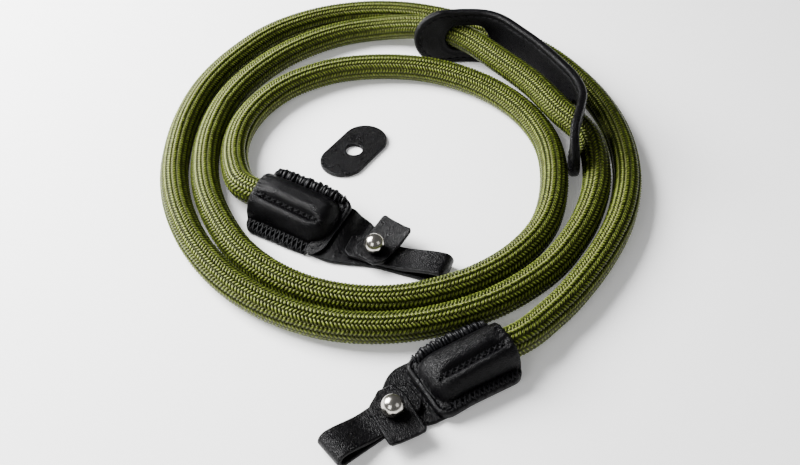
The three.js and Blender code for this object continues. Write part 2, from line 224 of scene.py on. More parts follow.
# Fine filaments of a yarn: noise drawn out along the yarn. Its colour holds painted shade and highlight:
# it goes from painted shade in the braid's hollows, where the yarn passes under, to a painted highlight on
# the top of each float.
def yarnMaterial():
    material, tree, shader = newMaterial("braided_nylon", **{
        "Roughness": 0.34, "Specular IOR Level": 0.42, "Specular Tint": linearColour("#dfe387")})
    place = addNode(tree, "ShaderNodeUVMap").outputs["UV"]
    stretched = addNode(tree, "ShaderNodeMapping", {"Vector": place, "Scale": (0.9, 9.0, 1.0)})
    filaments = addNoise(tree, stretched.outputs["Vector"], 1.0, 3.0)
    # Painted shade and highlight: this value darkens the yarn where it dips under and brightens each float's
    # top.
    height = addNode(tree, "ShaderNodeAttribute", attribute_name="paintedFloatShade").outputs["Fac"]
    colour = addRamp(tree, height, [(0.0, "#070902"), (0.48, "#1b2307"), (0.78, "#424f16"), (1.0, "#a6b54e")])
    patch = addNoise(tree, addNode(tree, "ShaderNodeTexCoord").outputs["Object"], 900.0, 3.0)
    varied = addShade(tree, 1.0, colour, addRamp(tree, patch, [(0.34, "#7a7a6a"), (0.66, "#ffffff")]))
    final = addShade(tree, 0.7, varied, addRamp(tree, filaments, [(0.3, "#b9b9ab"), (0.65, "#ffffff")]))
    bump = addNode(tree, "ShaderNodeBump", {"Height": filaments, "Strength": 0.35, "Distance": 0.0001})
    tree.links.new(final, shader.inputs["Base Color"])
    tree.links.new(bump.outputs["Normal"], shader.inputs["Normal"])
    return material


# Leather: grain cells of cellSize millimetres with creases between them, where painted shade darkens the
# colour, faint broad wrinkles, and a slow change of sheen. Smooth nappa has shallower cells and more wrinkles
# than pebbled leather.
def leatherMaterial(name, cellSize, depth, wrinkle, paintedCreaseShade, light, roughness, shine):
    material, tree, shader = newMaterial(name, **{"Specular IOR Level": shine})
    place = addNode(tree, "ShaderNodeTexCoord").outputs["Object"]
    warp = addNoise(tree, place, 0.45 / (cellSize * mm), 2.0, "Color")
    shift = addNode(tree, "ShaderNodeVectorMath", {0: warp, 1: (cellSize * mm * 0.5,) * 3},
                    operation="MULTIPLY")
    bent = addNode(tree, "ShaderNodeVectorMath", {0: place, 1: shift.outputs[0]}, operation="ADD")
    cells = addNode(tree, "ShaderNodeTexVoronoi", {"Vector": bent.outputs[0], "Scale": 1 / (cellSize * mm)},
                    feature="DISTANCE_TO_EDGE")
    crease = addNode(tree, "ShaderNodeMapRange", {"Value": cells.outputs["Distance"], "From Max": 0.28})
    wrinkles = addNoise(tree, place, 260.0, 5.0)
    # Painted shade: the creases between the grain cells are coloured darker than the cells.
    colour = addRamp(tree, crease.outputs[0], [(0.0, paintedCreaseShade), (0.8, light)])
    tone = addRamp(tree, addNoise(tree, place, 70.0, 3.0), [(0.3, "#cfcfd2"), (0.7, "#ffffff")])
    gloss = addNode(tree, "ShaderNodeMapRange", {
        "Value": wrinkles, "From Min": 0.3, "From Max": 0.7,
        "To Min": roughness - 0.07, "To Max": roughness + 0.08})
    soft = addNode(tree, "ShaderNodeBump", {"Height": wrinkles, "Strength": wrinkle, "Distance": 0.0003})
    grain = addNode(tree, "ShaderNodeBump", {
        "Height": crease.outputs[0], "Strength": depth, "Distance": 0.00012,
        "Normal": soft.outputs["Normal"]})
    tree.links.new(addShade(tree, 0.8, colour, tone), shader.inputs["Base Color"])
    tree.links.new(gloss.outputs[0], shader.inputs["Roughness"])
    tree.links.new(grain.outputs["Normal"], shader.inputs["Normal"])
    return material


# Waxed thread: two plies seen as slanted stripes round each stitch, with painted shade in the grooves between
# them.
def threadMaterial():
    material, tree, shader = newMaterial("waxed_thread", **{"Roughness": 0.38, "Specular IOR Level": 0.13})
    place = addNode(tree, "ShaderNodeUVMap").outputs["UV"]
    slant = addNode(tree, "ShaderNodeMapping", {
        "Vector": place, "Rotation": (0, 0, 0.6), "Scale": (5.0, 2.0, 1.0)})
    plies = addNode(tree, "ShaderNodeTexWave", {
        "Vector": slant.outputs["Vector"], "Scale": 1.0, "Distortion": 0.6}).outputs["Fac"]
    bump = addNode(tree, "ShaderNodeBump", {"Height": plies, "Strength": 0.6, "Distance": 0.0001})
    # Painted shade: the grooves between the plies are coloured darker than the plies' tops.
    colour = addRamp(tree, plies, [(0.1, "#020203"), (0.9, "#0e0e11")])
    tree.links.new(colour, shader.inputs["Base Color"])
    tree.links.new(bump.outputs["Normal"], shader.inputs["Normal"])
    return material


# Polished nickel with faint handling marks in its roughness.
def nickelMaterial():
    material, tree, shader = newMaterial("polished_nickel", **{
        "Metallic": 1.0, "Base Color": linearColour("#bdb9b2")})
    marks = addNoise(tree, addNode(tree, "ShaderNodeTexCoord").outputs["Object"], 900.0, 4.0)
    gloss = addNode(tree, "ShaderNodeMapRange", {"Value": marks, "To Min": 0.16, "To Max": 0.24})
    tree.links.new(gloss.outputs[0], shader.inputs["Roughness"])
    return material


# The rope's core shows only between the yarns, as dull dark fibres. The core is a real part, and its
# near-black colour also stands for the painted shade in the gaps between the yarns.
def coreMaterial():
    material, tree, shader = newMaterial("rope_core", **{"Roughness": 0.95, "Specular IOR Level": 0.05})
    fibres = addNoise(tree, addNode(tree, "ShaderNodeTexCoord").outputs["Object"], 1500.0, 2.0)
    # Painted shade: the core's near-black colour darkens the gaps between the yarns.
    colour = addRamp(tree, fibres, [(0.3, "#080a03"), (0.7, "#14180a")])
    tree.links.new(colour, shader.inputs["Base Color"])
    return material


yarn = yarnMaterial()
core = coreMaterial()
nappa = leatherMaterial("smooth_black_nappa", cellSize=0.5, depth=0.6, wrinkle=0.3,
                        paintedCreaseShade="#020203", light="#060507", roughness=0.34, shine=0.12)
pebbled = leatherMaterial("pebbled_black_leather", cellSize=0.54, depth=0.66, wrinkle=0.14,
                          paintedCreaseShade="#020203", light="#070608", roughness=0.32, shine=0.11)
thread = threadMaterial()
nickel = nickelMaterial()


# The rope's middle line, from cover 1 to cover 2, as it lies in the coil.
ropeRoute = [
    (-42.9, 8.9, 7.3), (-53.5, 15.4, 7), (-58, 26, 5.6), (-59.7, 38.5, 5), (-57.8, 52, 5),
    (-51.5, 65.5, 5), (-41, 77, 5), (-25.5, 85.4, 5), (-8, 88.2, 5), (9.5, 86.5, 5), (25, 80.2, 5),
    (38, 70, 5), (48.2, 55.8, 5), (53.8, 38.5, 5), (53.7, 18.5, 5), (48.4, -1, 5), (37.8, -15.9, 5),
    (23.3, -26.8, 5), (6.5, -33.3, 5), (-9.5, -35, 5), (-25.5, -32, 5), (-39.8, -24.7, 5),
    (-52, -13.6, 5), (-60.9, 0.8, 5), (-66.8, 15.7, 5), (-69.5, 31, 5), (-69.4, 47, 5), (-65.6, 65.5, 5),
    (-57, 82.5, 5), (-44, 98, 5), (-27, 109.6, 5), (-9.5, 114.2, 5.5), (9.5, 110, 9), (25.5, 98.3, 12),
    (38.5, 83, 12), (50, 67.6, 12), (58.3, 51.6, 12), (67.2, 36.6, 11), (68.7, 21, 6.6), (64.5, 6, 5),
    (57, -8.8, 5), (46.8, -22.4, 5), (31.7, -34.4, 5), (15.1, -42, 5), (-2, -45.6, 5), (-20, -44.8, 5),
    (-37, -38.9, 5), (-52.3, -28.6, 5), (-64.7, -14.3, 5), (-73.7, 2.7, 5), (-78.8, 20.4, 5),
    (-80.3, 38, 5), (-79.2, 56, 5), (-74.8, 74.5, 5), (-66, 92.5, 5), (-52.5, 110, 5), (-35, 121.5, 5),
    (-15.5, 126.8, 5), (4.5, 126, 5), (24, 119.5, 5), (42.5, 109.8, 5), (58, 96, 5), (69.5, 78.5, 5),
    (77, 60, 5), (80.3, 41, 5), (79.5, 21, 5), (74.2, 1.7, 5), (64.9, -16.3, 5), (53.5, -32.5, 5),
    (44.5, -42.4, 5.1), (37.2, -49.8, 6.2), (28.5, -55, 6.4),
]
rope = {
    "radius": 5.0,
    "coreRadius": 4.42,
    "carriers": 16,
    "pitch": 1.25,
    "yarnHeight": 4.7,
    "wave": 0.34,
    "crown": 0.42,
    "halfWidth": 0.52,
    "unevenAngle": 0.022,
    "unevenHeight": 0.12,
    "flatten": 1.12,
    "stepsInPeriod": 10,
}
centres, ropeLength = smoothPath(ropeRoute, 0.5)
reachOfCentre = np.linspace(0, ropeLength, len(centres))
forward = np.gradient(centres, axis=0)
forward /= np.linalg.norm(forward, axis=1, keepdims=True)
left = np.cross([0, 0, 1], forward)
left /= np.linalg.norm(left, axis=1, keepdims=True)
upward = np.cross(forward, left)


# Values of the route's even points, read at any reach along the rope.
def along(values, reach):
    return np.stack([np.interp(reach, reachOfCentre, values[:, k]) for k in range(3)], axis=-1)


# A point of the rope: centre + radius * (cos(angle) * left + sin(angle) * up) at that reach.
def ropePoint(reach, angle, radius):
    reach = np.clip(reach, 0, ropeLength)
    return (along(centres, reach)
            + (np.cos(angle) * radius)[..., None] * along(left, reach)
            + (np.sin(angle) * radius)[..., None] * along(upward, reach))


# The core: a tube about the route, in place of the rope part, which is hidden.
def makeCore():
    sides = 24
    reach = np.linspace(0, ropeLength, int(ropeLength / 3))
    angle = np.arange(sides) / sides * 2 * np.pi
    grid = np.broadcast_arrays(reach[:, None], angle[None, :])
    points = ropePoint(grid[0], grid[1], np.full(grid[0].shape, rope["coreRadius"]))
    faces = tubeFaces(len(reach), sides)
    flat = points.reshape(-1, 3)
    piece = meshPiece("rope_core", flat, outward(flat, faces), core)
    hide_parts("rope")


# Half of the braid's yarns of one hand. A yarn winds round the rope by turn * 2 pi * reach / (carriers *
# pitch), and passes over two and under two of the others. Its section is crowned: radius = yarnHeight +
# wave * shape - crown * across squared, where shape is a flattened cosine of the crossings that it has
# passed. Two slow sines make it a little uneven.
def makeYarns(name, turn, chosen):
    count = rope["carriers"]
    pitch = rope["pitch"]
    steps = int(ropeLength / (pitch * 2) * rope["stepsInPeriod"])
    middle = np.linspace(0, ropeLength, steps)[None, :, None]
    yarnIndex = np.asarray(chosen)[:, None, None]
    across = np.array([-1.0, 0.0, 1.0])[None, None, :]
    spread = 2 * math.pi * rope["radius"] / count
    norm = math.hypot(pitch, spread)
    reach = middle - turn * across * rope["halfWidth"] * spread / norm
    turnsPast = yarnIndex + turn * middle / pitch
    angle = 2 * np.pi * turnsPast / count + across * rope["halfWidth"] * pitch / norm / rope["radius"]
    uneven = np.sin(1.7 * middle + 2.4 * yarnIndex) * np.sin(0.43 * middle + 4.1 * yarnIndex)
    angle = angle + rope["unevenAngle"] * uneven
    start = 0.5 if turn > 0 else 2.5
    wave = np.cos(np.pi / 2 * (2 * yarnIndex + turn * 2 * middle / pitch - start))
    shape = np.clip(wave * rope["flatten"], -1, 1) + 0 * across
    lift = rope["wave"] * shape * (1 + rope["unevenHeight"] * uneven)
    height = rope["yarnHeight"] + lift - rope["crown"] * across ** 2
    points = ropePoint(reach + 0 * yarnIndex, angle, height)
    one = gridFaces(steps, 3)
    faces = (one[None] + (np.arange(len(chosen)) * steps * 3)[:, None, None]).reshape(-1, 4)
    if turn < 0:
        faces = faces[:, ::-1]
    uv = np.stack(np.broadcast_arrays(middle + 7.3 * yarnIndex, across * rope["halfWidth"]), axis=-1)
    # Painted shade and highlight: low where the yarn dips under and at its sides, high on each float's crown.
    paintedFloatShade = 0.5 + 0.5 * shape - 0.55 * across ** 2
    piece = meshPiece(name, points.reshape(-1, 3), faces, yarn, uv.reshape(-1, 2), {"paintedFloatShade": paintedFloatShade.ravel()})


makeCore()
for half in range(2):
    makeYarns(f"braid_right_{half + 1}", 1, np.arange(half, rope["carriers"], 2))
    makeYarns(f"braid_left_{half + 1}", -1, np.arange(half, rope["carriers"], 2))
tell(f"rope {ropeLength:.0f} mm")

# The two ends. An end's x and y are the middle of its cover's mouth, and turn is the way its loop points.
# Near and far are the sides toward the viewer and away, and farSide is the far side's sign in y. Mouth is
# how far the cover's mouth is drawn out, and neckFar how far the strip's neck reaches on the far side. The
# tab reaches tabBefore and tabPast its stud, and its narrow end has tabEnd of its width.
ends = [
    {"name": "1", "x": -46.1, "y": 10.7, "turn": -29.5, "roll": 18, "lift": 0.9, "farSide": 1,
     "mouth": 2.0, "nearSpread": 0.2, "neckShift": -3.2, "neckRoll": 10, "neckFar": 14.2, "neckHold": 6.5,
     "stud": 15.3, "aside": -0.7, "loop": 25.6, "tabBefore": 5.5, "tabPast": 12.8, "tabEnd": 0.7,
     "tabLift": 3.0, "tabTurn": -17, "chamfer": 3.2, "endAside": 0},
    {"name": "2", "x": 31.4, "y": -53.4, "turn": 209.5, "roll": 0, "lift": 0, "farSide": -1,
     "mouth": 0.0, "nearSpread": 0.0, "neckShift": -0.3, "neckRoll": 0, "neckFar": 11.8, "neckHold": 0.5,
     "stud": 11.5, "aside": 1.4, "loop": 21.9, "tabBefore": 8.3, "tabPast": 10.4, "tabEnd": 0.5,
     "tabLift": 0.8, "tabTurn": -12, "chamfer": 5.0, "endAside": -1.5},
]
cover = {
    "length": 29, "width": 22.8, "corner": 4, "farCorner": 1.4, "mouthHeight": 12.5, "tipHeight": 10,
    "flange": 2.2, "flangeHeight": 2.8, "farRise": 1.5, "thinnest": 0.9, "axis": 6.4, "bodyWidth": 16.6,
    "slopeStart": 7.6, "slope": 6.1, "valleyDepth": 1.35, "valleyWidth": 2.5, "valleyNear": 2.5,
    "ridge": 0.5, "ridgeAside": 3.4, "ridgeWidth": 1.6, "groove": 0.35, "grooveInset": 1.7,
    "grooveWidth": 0.4, "lobe": 0.55, "lobeFirst": 1.6, "lobeLength": 3.2, "crease": 0.22, "rim": 0.85,
}
strip = {
    "thickness": 1.4, "edge": 0.45, "loopWidth": 9.8, "loopHeight": 5.6, "tuck": 4.6,
    "neckHalf": cover["width"] / 2 - 2, "neckExtra": 1.4, "pastStud": 3.8, "endBeforeStud": 9.6,
    "tailShare": 0.5, "bend": 9.5, "bendLength": 5, "gap": 0.35,
}


# Turns points about the vertical axis by a share of an angle in degrees.
def turned(points, degrees, share=1.0):
    angle = math.radians(degrees) * share
    x = points[..., 0] * np.cos(angle) - points[..., 1] * np.sin(angle)
    y = points[..., 0] * np.sin(angle) + points[..., 1] * np.cos(angle)
    return np.stack([x, y, points[..., 2]], axis=-1)


# From an end's own frame, with x along its cover from the mouth, to the strap's plan.
def placed(points, end):
    return turned(points, end["turn"]) + [end["x"], end["y"], 0]


# From the strip's frame to its end's. The strip bends over its first millimetres past the cover's tip.
def onStrip(points, end):
    share = np.clip(points[..., 0] / strip["bendLength"], 0, 1)
    return turned(points, strip["bend"], share) + [cover["length"], end["neckShift"], 0]


# Turns a cover's points about its axis. The mouth is drawn out along the rope and the near flange is
# spread, each by the end's own amount.
def rolled(points, end):
    angle = math.radians(end["roll"])
    x = points[..., 0] - end["mouth"] * np.clip(1 - points[..., 0] / cover["length"], 0, 1)
    y = points[..., 1]
    y = y * (1 + end["nearSpread"] * smooth(-y * end["farSide"], 5, cover["width"] / 2))
    z = points[..., 2] - cover["axis"]
    return np.stack([x, y * math.cos(angle) - z * math.sin(angle),
                     y * math.sin(angle) + z * math.cos(angle) + cover["axis"] + end["lift"]], axis=-1)


# Half width of the cover at x from its mouth, with rounded corners. The mouth's far corner is sharper.
def coverHalf(x, far=False):
    near = np.clip(np.minimum(x, cover["length"] - x), 0, cover["corner"])
    inset = cover["corner"] - np.sqrt(cover["corner"] ** 2 - (cover["corner"] - near) ** 2)
    atMouth = np.where(x < cover["length"] / 2, cover["farCorner"] / cover["corner"], 1)
    return cover["width"] / 2 - inset * (atMouth if far else 1)


# Underside of the flange, which comes down to the strip at the tip.
def flangeUnder(x):
    low = strip["thickness"] + strip["gap"]
    return mix(cover["flangeHeight"], low, smooth(x, cover["length"] - 12, cover["length"] - 3))


# Distance from the cover's rounded outline, inward.
def coverEdge(x, y):
    corner = cover["corner"]
    fromSide = cover["width"] / 2 - np.abs(y)
    fromEnd = np.minimum(x, cover["length"] - x)
    inCorner = (fromSide < corner) & (fromEnd < corner)
    rounded = corner - np.hypot(corner - fromSide, corner - fromEnd)
    return np.maximum(0, np.where(inCorner, rounded, np.minimum(fromSide, fromEnd)))


# The far flange is pushed up a little by the strand beside it.
def farRise(x, y, far):
    beforeTip = 1 - smooth(x, cover["length"] - 9, cover["length"] - 2)
    return cover["farRise"] * smooth(y * far, 6.5, 9.5) * beforeTip


# Top of the cover: base + (crown - base) * across - valley + ridges. Across is 1 along the middle and
# falls to 0 at the flange and before the tip. The valley is a bell curve across the cover, with a soft
# ridge on each side. Then come a groove inside the tip's rim, lobes between the whip stitches, creases at
# the mouth and a rounded rim.
def coverTop(x, y, far):
    length = cover["length"]
    base = flangeUnder(x) + cover["flange"] + farRise(x, y, far)
    crown = mix(cover["mouthHeight"], cover["tipHeight"], smooth(x, 0, length))
    tip = np.clip((x - (length - cover["slopeStart"])) / cover["slope"], 0, 1)
    across = np.maximum(0, 1 - np.abs(y / (cover["bodyWidth"] / 2)) ** 3.0 - tip ** 2.6) ** 0.6
    fromValley = y * far + cover["valleyNear"]
    valley = cover["valleyDepth"] * np.exp(-((fromValley / (cover["valleyWidth"] / 2)) ** 2))
    valley = valley * smooth(x, 0.5, 5) * (1 - smooth(x, length - 8, length - 3.2))
    ridges = cover["ridge"] * np.exp(-((np.abs(fromValley) - cover["ridgeAside"]) / cover["ridgeWidth"]) ** 2)
    ridges = ridges * smooth(x, 2, 8) * (1 - smooth(x, length - 9.5, length - 5))
    top = base + np.maximum(0, (crown - base) * across - valley + ridges * across)
    edge = coverEdge(x, y)
    onTip = smooth(x, length - 6, length - 4)
    groove = np.exp(-((edge - cover["grooveInset"]) / cover["grooveWidth"]) ** 2)
    top = top - cover["groove"] * groove * onTip
    lobes = 0.5 + 0.5 * np.cos(2 * np.pi * (x - cover["lobeFirst"]) / cover["lobeLength"])
    top = top - cover["lobe"] * lobes ** 3 * smooth(np.abs(y), 8.2, 9.4) * (1 - onTip)
    creases = np.sin(y * 2.1 + 0.8 * np.sin(x * 1.3)) * np.sin(y * 0.9 + 1.1)
    top = top + cover["crease"] * creases * (1 - smooth(x, 0.5, 5)) * across
    near = np.minimum(edge, 1.0)
    return top - cover["rim"] * (1.0 - np.sqrt(1.0 - (1.0 - near) ** 2))


# Underside: round about the rope in the middle, flat under the flange.
def coverUnder(x, y, far):
    rounded = cover["axis"] - np.sqrt(np.maximum(0, cover["axis"] ** 2 - y ** 2))
    return np.minimum(flangeUnder(x), rounded) + farRise(x, y, far)


# Height that the cover keeps clear of: the table, and the strip's neck under the tip.
def coverFloor(points, end):
    slope = math.tan(math.radians(end["neckRoll"]))
    neck = strip["thickness"] + strip["gap"] + slope * (points[..., 1] - end["neckShift"] + strip["neckHalf"])
    return np.where(points[..., 0] > cover["length"] - strip["tuck"] - 1, np.maximum(neck, 0.05), 0.05)


# Rolls points with the cover, keeps them clear of what lies under it, and puts them in their place.
def seated(points, end, clear):
    points = rolled(points, end)
    points[..., 2] = np.maximum(points[..., 2], coverFloor(points, end) + clear)
    return placed(points, end)


def onCover(x, y, rise, end):
    return seated(np.stack([x, y, coverTop(x, y, end["farSide"]) + rise], axis=-1), end, cover["thinnest"])


# The cover: a grid of x along it and q across it from rim to rim, with y = q * half width. Rows and
# columns lie closer together at the rims. The mouth's face goes in to the rope, and on along it for a few
# millimetres, as rings of (depth, radius).
def makeCover(end):
    length = cover["length"]
    t = np.linspace(0, 1, 150)
    x = length * (t - 0.12 * np.sin(4 * np.pi * t) / (2 * np.pi))[:, None]
    q = np.linspace(-1, 1, 161)
    q = (np.sign(q) * (1 - (1 - np.abs(q)) ** 1.35))[None, :]
    far = end["farSide"]
    inside = np.clip(x, 0.02, length - 0.02)
    y = np.where(q * far > 0, coverHalf(inside, True), coverHalf(inside)) * q
    x = x + 0 * y
    upper = seated(np.stack([x, y, coverTop(x, y, far)], axis=-1), end, cover["thinnest"])
    under = seated(np.stack([x, y, coverUnder(x, y, far)], axis=-1), end, 0)

    def lining(depth, radius, degrees):
        angle = np.radians(degrees)
        ring = [np.full(q.size, depth), np.cos(angle) * radius, cover["axis"] + np.sin(angle) * radius]
        return placed(rolled(np.stack(ring, axis=-1), end), end)[None]

    rings = [(5.0, 5.1), (0.5, 5.15), (0.05, 5.35)]
    upper = np.concatenate([*(lining(*ring, 90 - 100 * q[0]) for ring in rings), upper])
    under = np.concatenate([*(lining(*ring, 270 + 80 * q[0]) for ring in rings), under])
    piece = shellPiece(f"cover_{end['name']}", upper, under, nappa)
    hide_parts(f"end_cover_{end['name']}")


stitch = {
    "clear": 0.5, "seamCount": 11, "seamFirst": 3.6, "seamSpacing": 2.1, "seamHalf": (0.75, 0.7),
    "seamRadius": 0.26, "tipSpacing": 2.1, "tipLength": 1.5, "whipTurns": 31, "whipFirst": 0.7,
    "whipLength": cover["length"] - 4.2, "whipRadius": 0.55, "whipInset": 1.3, "whipReach": 1.5,
    "whipHeight": 1.35, "beadLength": 3.05, "stepsInTurn": 22, "flangeCount": 14, "flangeFirst": 2.4,
    "flangeSpacing": 1.62, "flangeSlant": 1.5, "flangeRadius": 0.32,
}


# Seams of a cover: crossed stitches along the valley, and running stitches in the groove along the tip.
# Each is a short line with t from -1 to 1 that rises as 1 - t squared.
def makeSeamStitches(end):
    t = np.linspace(-1, 1, 7)[None, :]
    k = np.arange(stitch["seamCount"])[:, None]
    halfX, halfY = stitch["seamHalf"]
    lines = []
    for slant in (1, -1):
        x = stitch["seamFirst"] + k * stitch["seamSpacing"] + t * halfX
        y = t * halfY * slant + 0 * x - cover["valleyNear"] * end["farSide"]
        lines.append(onCover(x, y, 0.05 + 0.3 * (1 - t ** 2) + (0.15 if slant > 0 else 0) + 0 * x, end))
    inset = cover["grooveInset"]
    half = cover["width"] / 2 - inset
    corner = cover["corner"] - inset
    turn = np.linspace(0, np.pi / 2, 12)
    cornerX = cover["length"] - inset - corner + corner * np.sin(turn)
    cornerY = half - corner + corner * np.cos(turn)
    start = [cover["length"] - 7]
    outlineX = np.concatenate([start, cornerX, cornerX[::-1], start])
    outlineY = np.concatenate([[half], cornerY, -cornerY[::-1], [-half]])
    reach = np.concatenate([[0], np.cumsum(np.hypot(np.diff(outlineX), np.diff(outlineY)))])
    starts = np.arange(0.6, reach[-1] - 1.8, stitch["tipSpacing"])[:, None]
    at = starts + (t + 1) / 2 * stitch["tipLength"]
    x = np.interp(at, reach, outlineX)
    y = np.interp(at, reach, outlineY)
    lines.append(onCover(x, y, 0.12 + 0.2 * (1 - t ** 2) + 0 * x, end))
    piece = threadPiece(f"cover_stitches_{end['name']}", np.concatenate(lines), stitch["seamRadius"], thread)


# The far flange is bound by two threads that wind round its edge in close turns, one each way. The turns
# swell into beads: half width and half height times (0.62 + 0.55 * |cosine| to the power 0.8).
def makeWhipStitches(end):
    turns, first = stitch["whipTurns"], stitch["whipFirst"]
    t = np.linspace(0, 1, turns * stitch["stepsInTurn"])
    x = first + t * stitch["whipLength"]
    swell = 0.62 + 0.55 * np.abs(np.cos(np.pi * (x - first) / stitch["beadLength"])) ** 0.8
    angle = 2 * np.pi * turns * t
    strands = []
    for turn, jitter in ((1.0, 1.0), (-0.71, 2.6)):
        wound = angle * turn
        place = x + 0.4 * np.sin(wound * 0.37 + jitter) + 0.3 * np.sin(wound)
        edge = coverHalf(np.clip(place, 0.1, cover["length"]), True)
        loose = swell * (1 + 0.12 * np.sin(wound * 0.21 + jitter))
        y = edge - stitch["whipInset"] + stitch["whipReach"] * loose * np.cos(wound)
        middle = flangeUnder(x) + farRise(x, edge, 1) + cover["flange"] / 2 + 0.2
        z = middle + stitch["whipHeight"] * loose * np.sin(wound)
        strands.append(seated(np.stack([place, y * end["farSide"], z], -1), end, stitch["clear"]))
    piece = threadPiece(f"whip_stitches_{end['name']}", np.stack(strands), stitch["whipRadius"], thread)


# On the near flange the stitches lie flat on top, cross each other and rise as the sine of pi * t.
def makeFlangeStitches(end):
    t = np.linspace(0, 1, 15)[None, :]
    j = np.arange(stitch["flangeCount"])[:, None]
    lines = []
    for slant in (1.0, -1.0):
        x = stitch["flangeFirst"] + j * stitch["flangeSpacing"] + slant * (t - 0.5) * stitch["flangeSlant"]
        edge = coverHalf(np.clip(x, 1.6, cover["length"] - 1.6))
        y = -end["farSide"] * mix(8.3, edge - 0.35, t)
        z = flangeUnder(x) + cover["flange"] + 0.02 + 0.28 * np.sin(np.pi * t) + (0.2 if slant > 0 else 0)
        lines.append(seated(np.stack(np.broadcast_arrays(x, y, z), -1), end, stitch["clear"]))
    name = f"flange_stitches_{end['name']}"
    piece = threadPiece(name, np.concatenate(lines), stitch["flangeRadius"], thread)


# How far a rounded edge drops below its face at a distance from the rim: edgeRadius - the root of
# (edgeRadius squared - (edgeRadius - distance) squared).
def edgeDrop(fromEdge, edgeRadius):
    near = np.minimum(np.maximum(fromEdge, 0), edgeRadius)
    return edgeRadius - np.sqrt(edgeRadius ** 2 - (edgeRadius - near) ** 2)


# Shares across a strip from -1 to 1, closer together at its edges.
def acrossShares(count):
    return -np.cos(np.linspace(0, np.pi, count))


# The strip's upper layer lies flat past the stud, then rises to the top of the fold.
def upperLayer(s, end):
    low = strip["thickness"] * 1.5 + strip["gap"]
    high = strip["loopHeight"] - strip["thickness"] / 2
    fold = end["stud"] + end["loop"] - strip["loopHeight"] / 2
    return mix(low, high, smooth(s, end["stud"] + tab["width"] / 2 + 1, fold + 0.4))


# The loop's strip. Its middle line in side view goes out along the table, round the fold and back above
# itself, and its faces lie half a thickness to each side of that line, at y = share * half width + shift.
# The neck's near edge tapers at once, and its far edge after neckHold millimetres.
def makeLoop(end):
    half = strip["thickness"] / 2
    radius = (strip["loopHeight"] - strip["thickness"]) / 2
    fold = end["stud"] + end["loop"] - strip["loopHeight"] / 2
    tail = end["stud"] - strip["endBeforeStud"]
    s = np.linspace(-strip["tuck"], fold, 110)
    angle = np.linspace(-np.pi / 2, np.pi / 2, 26)[1:-1]
    back = np.linspace(fold, tail, 110)
    line = np.concatenate([
        np.stack([s, np.full(s.size, half)], -1),
        np.stack([fold + np.cos(angle) * radius, half + radius + np.sin(angle) * radius], -1),
        np.stack([back, upperLayer(back, end)], -1),
    ])
    direction = np.gradient(line, axis=0)
    direction /= np.linalg.norm(direction, axis=1, keepdims=True)
    normal = np.stack([direction[:, 1], -direction[:, 0]], -1)
    flat = strip["loopWidth"] / 2
    tapered = end["stud"] + strip["pastStud"]
    nearNeck = strip["neckHalf"] + strip["neckExtra"] + end["neckShift"] * 0.9
    near = mix(nearNeck, flat, smooth(s, 0.5, tapered))
    far = mix(end["neckFar"], flat, smooth(s, end["neckHold"], tapered))
    atTail = flat * mix(strip["tailShare"], 1, smooth(back, tail - 1.5, tail + 2.2))
    width = np.concatenate([(far + near) / 2, np.full(angle.size, flat), atTail])[:, None]
    shift = np.concatenate([end["farSide"] * (far - near) / 2, np.zeros(angle.size + back.size)])[:, None]
    y = acrossShares(41)[None, :] * width
    thick = half - edgeDrop(width - np.abs(y), strip["edge"])
    y = y + shift
    untilTab = 1 - smooth(line[:, :1], 0, end["stud"] - tab["width"] / 2 - 1)
    slope = math.tan(math.radians(end["neckRoll"])) * untilTab
    sides = []
    for sign in (1, -1):
        x = line[:, :1] + normal[:, :1] * thick * sign
        z = line[:, 1:] + normal[:, 1:] * thick * sign + slope * (y + strip["neckHalf"])
        sides.append(placed(onStrip(np.stack([x, y, z], -1), end), end))
    piece = shellPiece(f"loop_{end['name']}", sides[0], sides[1], pebbled)
    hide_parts(f"loop_strap_{end['name']}")


tab = {"width": 11.8, "corner": 1.3, "edge": 0.5, "cup": 0.35, "press": 0.35, "pressRadius": 4.2}


# The keeper tab: a grid of y along it and x across it. Its end before the stud narrows over the chamfer
# and leans by endAside. Its free end is square with small round corners, and lifts. The ball presses a
# dip into its top, a bell curve of x and y.
def makeTab(end):
    before, past = end["tabBefore"], end["tabPast"]
    y = mix(-before, past, 0.5 - 0.5 * np.cos(np.linspace(0, np.pi, 90)))[:, None]
    full = smooth(y, -before, -before + end["chamfer"])
    fromEnd = np.minimum(past - y, y + before)
    half = tab["width"] / 2 * mix(end["tabEnd"], 1, full) - edgeDrop(fromEnd, tab["corner"])
    x = acrossShares(41)[None, :] * half
    thick = strip["thickness"] / 2 - edgeDrop(np.minimum(half - np.abs(x), fromEnd), tab["edge"])
    middle = strip["thickness"] * 2.5 + strip["gap"] * 2 + end["tabLift"] * smooth(y, 2, before + past)
    cup = tab["cup"] * smooth(np.abs(x) / half, 0.5, 1.0) * smooth(y, 4, past)
    press = tab["press"] * np.exp(-(x ** 2 + y ** 2) / tab["pressRadius"] ** 2)
    leaning = x + end["endAside"] * (1 - full)
    sides = []
    for sign in (1, -1):
        z = middle + cup + thick * sign - (press if sign > 0 else 0)
        points = turned(np.stack(np.broadcast_arrays(leaning, y, z), -1), end["tabTurn"])
        sides.append(placed(onStrip(points + [end["stud"], end["aside"], 0], end), end))
    piece = shellPiece(f"tab_{end['name']}", sides[0], sides[1], pebbled)
    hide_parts(f"keeper_tab_{end['name']}")


stud = {"ball": 3.4, "sunk": 0.58, "head": 2.6, "post": 1.5, "collar": 2.4, "rise": 0.3}


